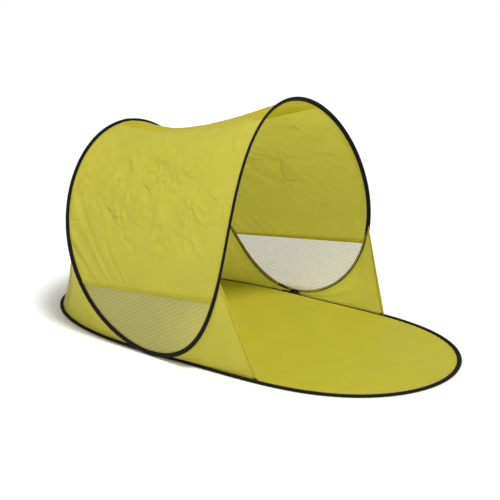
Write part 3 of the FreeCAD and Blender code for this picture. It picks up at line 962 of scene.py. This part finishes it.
def rear_columns(first, last, low, high, count, tall):
    """Columns of the rear wall between two hoop angles, counted through the rear crown."""
    columns = []
    for i in range(count):
        angle = first + (last - first) * i / (count - 1)
        side = 1 if angle <= math.pi else -1
        hoop_angle = angle if side > 0 else 2 * math.pi - angle
        share = (hoop_angle - math.pi / 2) / (math.pi / 2)
        floor_angle = FOOT_ANGLE + (math.pi - FOOT_ANGLE) * share
        sag = REAR_WALL_SAG * math.sin(hoop_angle - math.pi / 2) ** 2
        columns.append(wall_column(side * hoop_angle, side * floor_angle, low, high, tall, sag))
    return columns


def add_rear_gussets(near_seam):
    """Walls behind the feet, from the canopy hoop's lobes to the seams of the rear wall."""
    tip = math.pi - GUSSET_TIP
    near_tip = 2 * math.pi - tip
    for name, first, last in (("far", tip, REAR_GUSSET), ("near", near_tip, near_seam)):
        columns = rear_columns(first, last, 0, 1, 81, 81)
        gusset = cloth("gusset_rear_" + name, columns, CANOPY_CLOTH, "yellow_polyester",
                       ["rear_gusset_" + name], wall_height(columns, 3.0, 0.005), CLOTH, side_map)


def net_swell(i, j, point):
    """Soft waves of the rear net, held still along its lower and upper edges."""
    return 0.003 * soft_noise(point, 0.14, 5.0) * ease(j / 8) * ease((40 - j) / 8)


def add_rear():
    """Rear gussets, the rear wall, its net window and the hem and seams between them."""
    near_seam = 2 * math.pi - REAR_GUSSET
    add_rear_gussets(near_seam)
    columns = rear_columns(REAR_GUSSET, near_seam, REAR_WINDOW_SHARE, 1, 221, 121)
    wall = cloth("rear_panel", columns, CANOPY_CLOTH, "yellow_polyester", ["rear_wall"],
                 wall_height(columns, 2.0, 0.005))
    net_columns = rear_columns(REAR_GUSSET, near_seam, 0, REAR_WINDOW_SHARE, 201, 41)
    net = cloth("rear_net", net_columns, NET, "mesh", ["rear_window"], net_swell, 0)
    hem, outward = add_rear_hem(near_seam)
    add_rear_seams(outward)


def add_rear_hem(near_seam):
    """Hem between the rear net and the rear wall, stitched twice, and its outward sign."""
    half = HEM_WIDTH / (canopy_point(math.pi) - base_point(math.pi)).length
    columns = rear_columns(REAR_GUSSET, near_seam, REAR_WINDOW_SHARE - 0.3 * half,
                           REAR_WINDOW_SHARE + half, 201, 9)
    outward = 1 if grid_normal(columns, 100, 4).x < 0 else -1
    hem = cloth("rear_hem_fold", columns, HEM_CLOTH, "yellow_polyester", ["rear_window_hem"],
                hem_lay(outward), 0.0013)
    lines = []
    for j in (1, 7):
        line = [column[j] for column in columns]
        lines.append((line, [outward * grid_normal(columns, i, j) for i in range(201)]))
    seam_stitches("rear_hem_stitches", lines, 0.0021)
    return hem, outward


def add_rear_seams(outward):
    """Felled seam between each rear gusset and the rear wall: a narrow folded strip, stitched twice."""
    for name, angle in (("far", REAR_GUSSET), ("near", 2 * math.pi - REAR_GUSSET)):
        columns = rear_columns(angle - SEAM_SPREAD, angle + SEAM_SPREAD, 0, 1, 7, 101)
        strip = cloth("rear_seam_fold_" + name, columns, HEM_CLOTH, "yellow_polyester", [],
                      lambda i, j, p: outward * LAY, FOLDED)
        lines = [(columns[i], [outward * n for n in normals_of(columns, i)]) for i in (1, 5)]
        seam_stitches("rear_seam_stitches_" + name, lines, 0.0020)


# ------------------------------------------------------------------ floor
def add_floor():
    """Groundsheet, laid flat and drawn up a little to its sewn edge."""
    across, along = 161, 261
    rows = []
    for i in range(across):
        part = 2 * i / (across - 1) - 1
        row = []
        for j in range(along):
            angle = math.pi * (0.012 + 0.976 * j / (along - 1))
            rim = base_point(angle) + level_inward(angle) * (FREE_TUCK + 0.0015)
            row.append(Vector((rim.x, part * rim.y, 0.0006)))
        rows.append(row)

    def height(i, j, point):
        part = abs(2 * i / (across - 1) - 1)
        rim = abs(rows[0][j].y)
        from_rim = min(rim * (1 - part), rows[0][0].x - point.x, point.x - rows[0][-1].x)
        loose = ease(from_rim / 0.08)
        swell = 0.0020 * (0.5 + 0.5 * soft_noise(point, 0.30, 31.0))
        fine = 0.0011 * max(0.0, crinkle(point, 0.16, 35.0, 0.06))
        ripple = 0.0006 * (1 + math.sin(2 * math.pi * point.x / 0.030 + 3 * soft_noise(point, 0.2, 8.0)))
        drawn = math.exp(-from_rim / 0.030)
        return (swell + fine) * loose + ripple * drawn + 0.0042 * math.exp(-from_rim / 0.012)

    floor = cloth("ground_sheet", rows, FLOOR_CLOTH, "floor_fabric", ["floor_sheet"], height, 0.0005,
                  lambda p: (p.x, p.y))


# ------------------------------------------------------------------ build
def show_cad():
    """Give the CAD nodes that stay as they are their finished materials."""
    kept = {
        "base_hoop_wire": STEEL, "canopy_hoop_wire": STEEL,
        "base_hoop_ferrule": FERRULE, "canopy_hoop_ferrule": FERRULE,
    }
    for node, material in kept.items():
        for slot in frame["nodes"][node].material_slots:
            slot.material = material


AMBIENT = 0.50              # how strongly the white surroundings light the tent
GROUND = -0.001
GROUND_HALF = 30.0
SUNS = (                    # name, tilt from overhead, turn, spread in degrees, strength
    ("key_sun", 32, 74, 12, 2.55),
    ("fill_sun", 62, -35, 50, 0.35),
)


def add_stage():
    """Pale floor, soft white surroundings and two very soft lamps."""
    half = GROUND_HALF
    mesh = bpy.data.meshes.new("studio_floor")
    corners = [(x, y, GROUND) for x, y in ((-half, -half), (half, -half), (half, half), (-half, half))]
    mesh.from_pydata(corners, [], [(0, 1, 2, 3)])
    floor = bpy.data.objects.new("studio_floor", mesh)
    bpy.context.scene.collection.objects.link(floor)
    material, nodes, links, output = new_material("studio_white")
    shader = nodes.new("ShaderNodeBsdfPrincipled")
    shader.inputs["Base Color"].default_value = (0.95, 0.95, 0.95, 1)
    shader.inputs["Roughness"].default_value = 0.9
    links.new(shader.outputs[0], output.inputs[0])
    mesh.materials.append(material)
    add_surroundings()
    for name, tilt, turn, spread, strength in SUNS:
        light = bpy.data.lights.new(name, "SUN")
        light.angle = math.radians(spread)
        light.energy = strength
        lamp = bpy.data.objects.new(name, light)
        lamp.rotation_euler = (math.radians(tilt), 0, math.radians(turn))
        bpy.context.scene.collection.objects.link(lamp)


def add_surroundings():
    """White studio all round: seen as pure white, and lighting the tent a little less than that."""
    world = bpy.data.worlds.new("studio")
    world.use_nodes = True
    nodes, links = world.node_tree.nodes, world.node_tree.links
    path = nodes.new("ShaderNodeLightPath")
    strength = math_node(nodes, links, "MULTIPLY_ADD", path.outputs["Is Camera Ray"], 1.0 - AMBIENT)
    strength.node.inputs[2].default_value = AMBIENT
    nodes["Background"].inputs[0].default_value = (1, 1, 1, 1)
    links.new(strength, nodes["Background"].inputs[1])
    bpy.context.scene.world = world


CAMERA_AZIMUTH = math.radians(38.05)
CAMERA_ELEVATION = math.radians(15.73)
CAMERA_ROLL = math.radians(-0.36)
CAMERA_DISTANCE = 4.280
CAMERA_TARGET = Vector((0.0372, 0.0, 0.3502))
CAMERA_LENS = 72.04         # millimetres, on a 36 mm sensor


def add_camera():
    """Camera in front of the near side, a little above the tent."""
    level = math.cos(CAMERA_ELEVATION)
    back = Vector((math.sin(CAMERA_AZIMUTH) * level, -math.cos(CAMERA_AZIMUTH) * level,
                   math.sin(CAMERA_ELEVATION)))
    right = (-back).cross(Vector((0, 0, 1))).normalized()
    up = right.cross(-back)
    turned = right * math.cos(CAMERA_ROLL) + up * math.sin(CAMERA_ROLL)
    upright = up * math.cos(CAMERA_ROLL) - right * math.sin(CAMERA_ROLL)
    camera = bpy.data.cameras.new("camera")
    camera.sensor_width = 36.0
    camera.lens = CAMERA_LENS
    view = bpy.data.objects.new("camera", camera)
    pose = Matrix((turned, upright, back)).transposed().to_4x4()
    pose.translation = CAMERA_TARGET + back * CAMERA_DISTANCE
    view.matrix_world = pose
    bpy.context.scene.collection.objects.link(view)
    bpy.context.scene.camera = view


bpy.context.scene.view_settings.view_transform = "Standard"
add_camera()
add_binding("base", base_point, 900)
add_binding("canopy", canopy_point, 1040)
add_foot_ties()
add_canopy()
add_windows()
add_front_gussets()
add_rear()
add_floor()
show_cad()
add_stage()
bpy.context.view_layer.update()
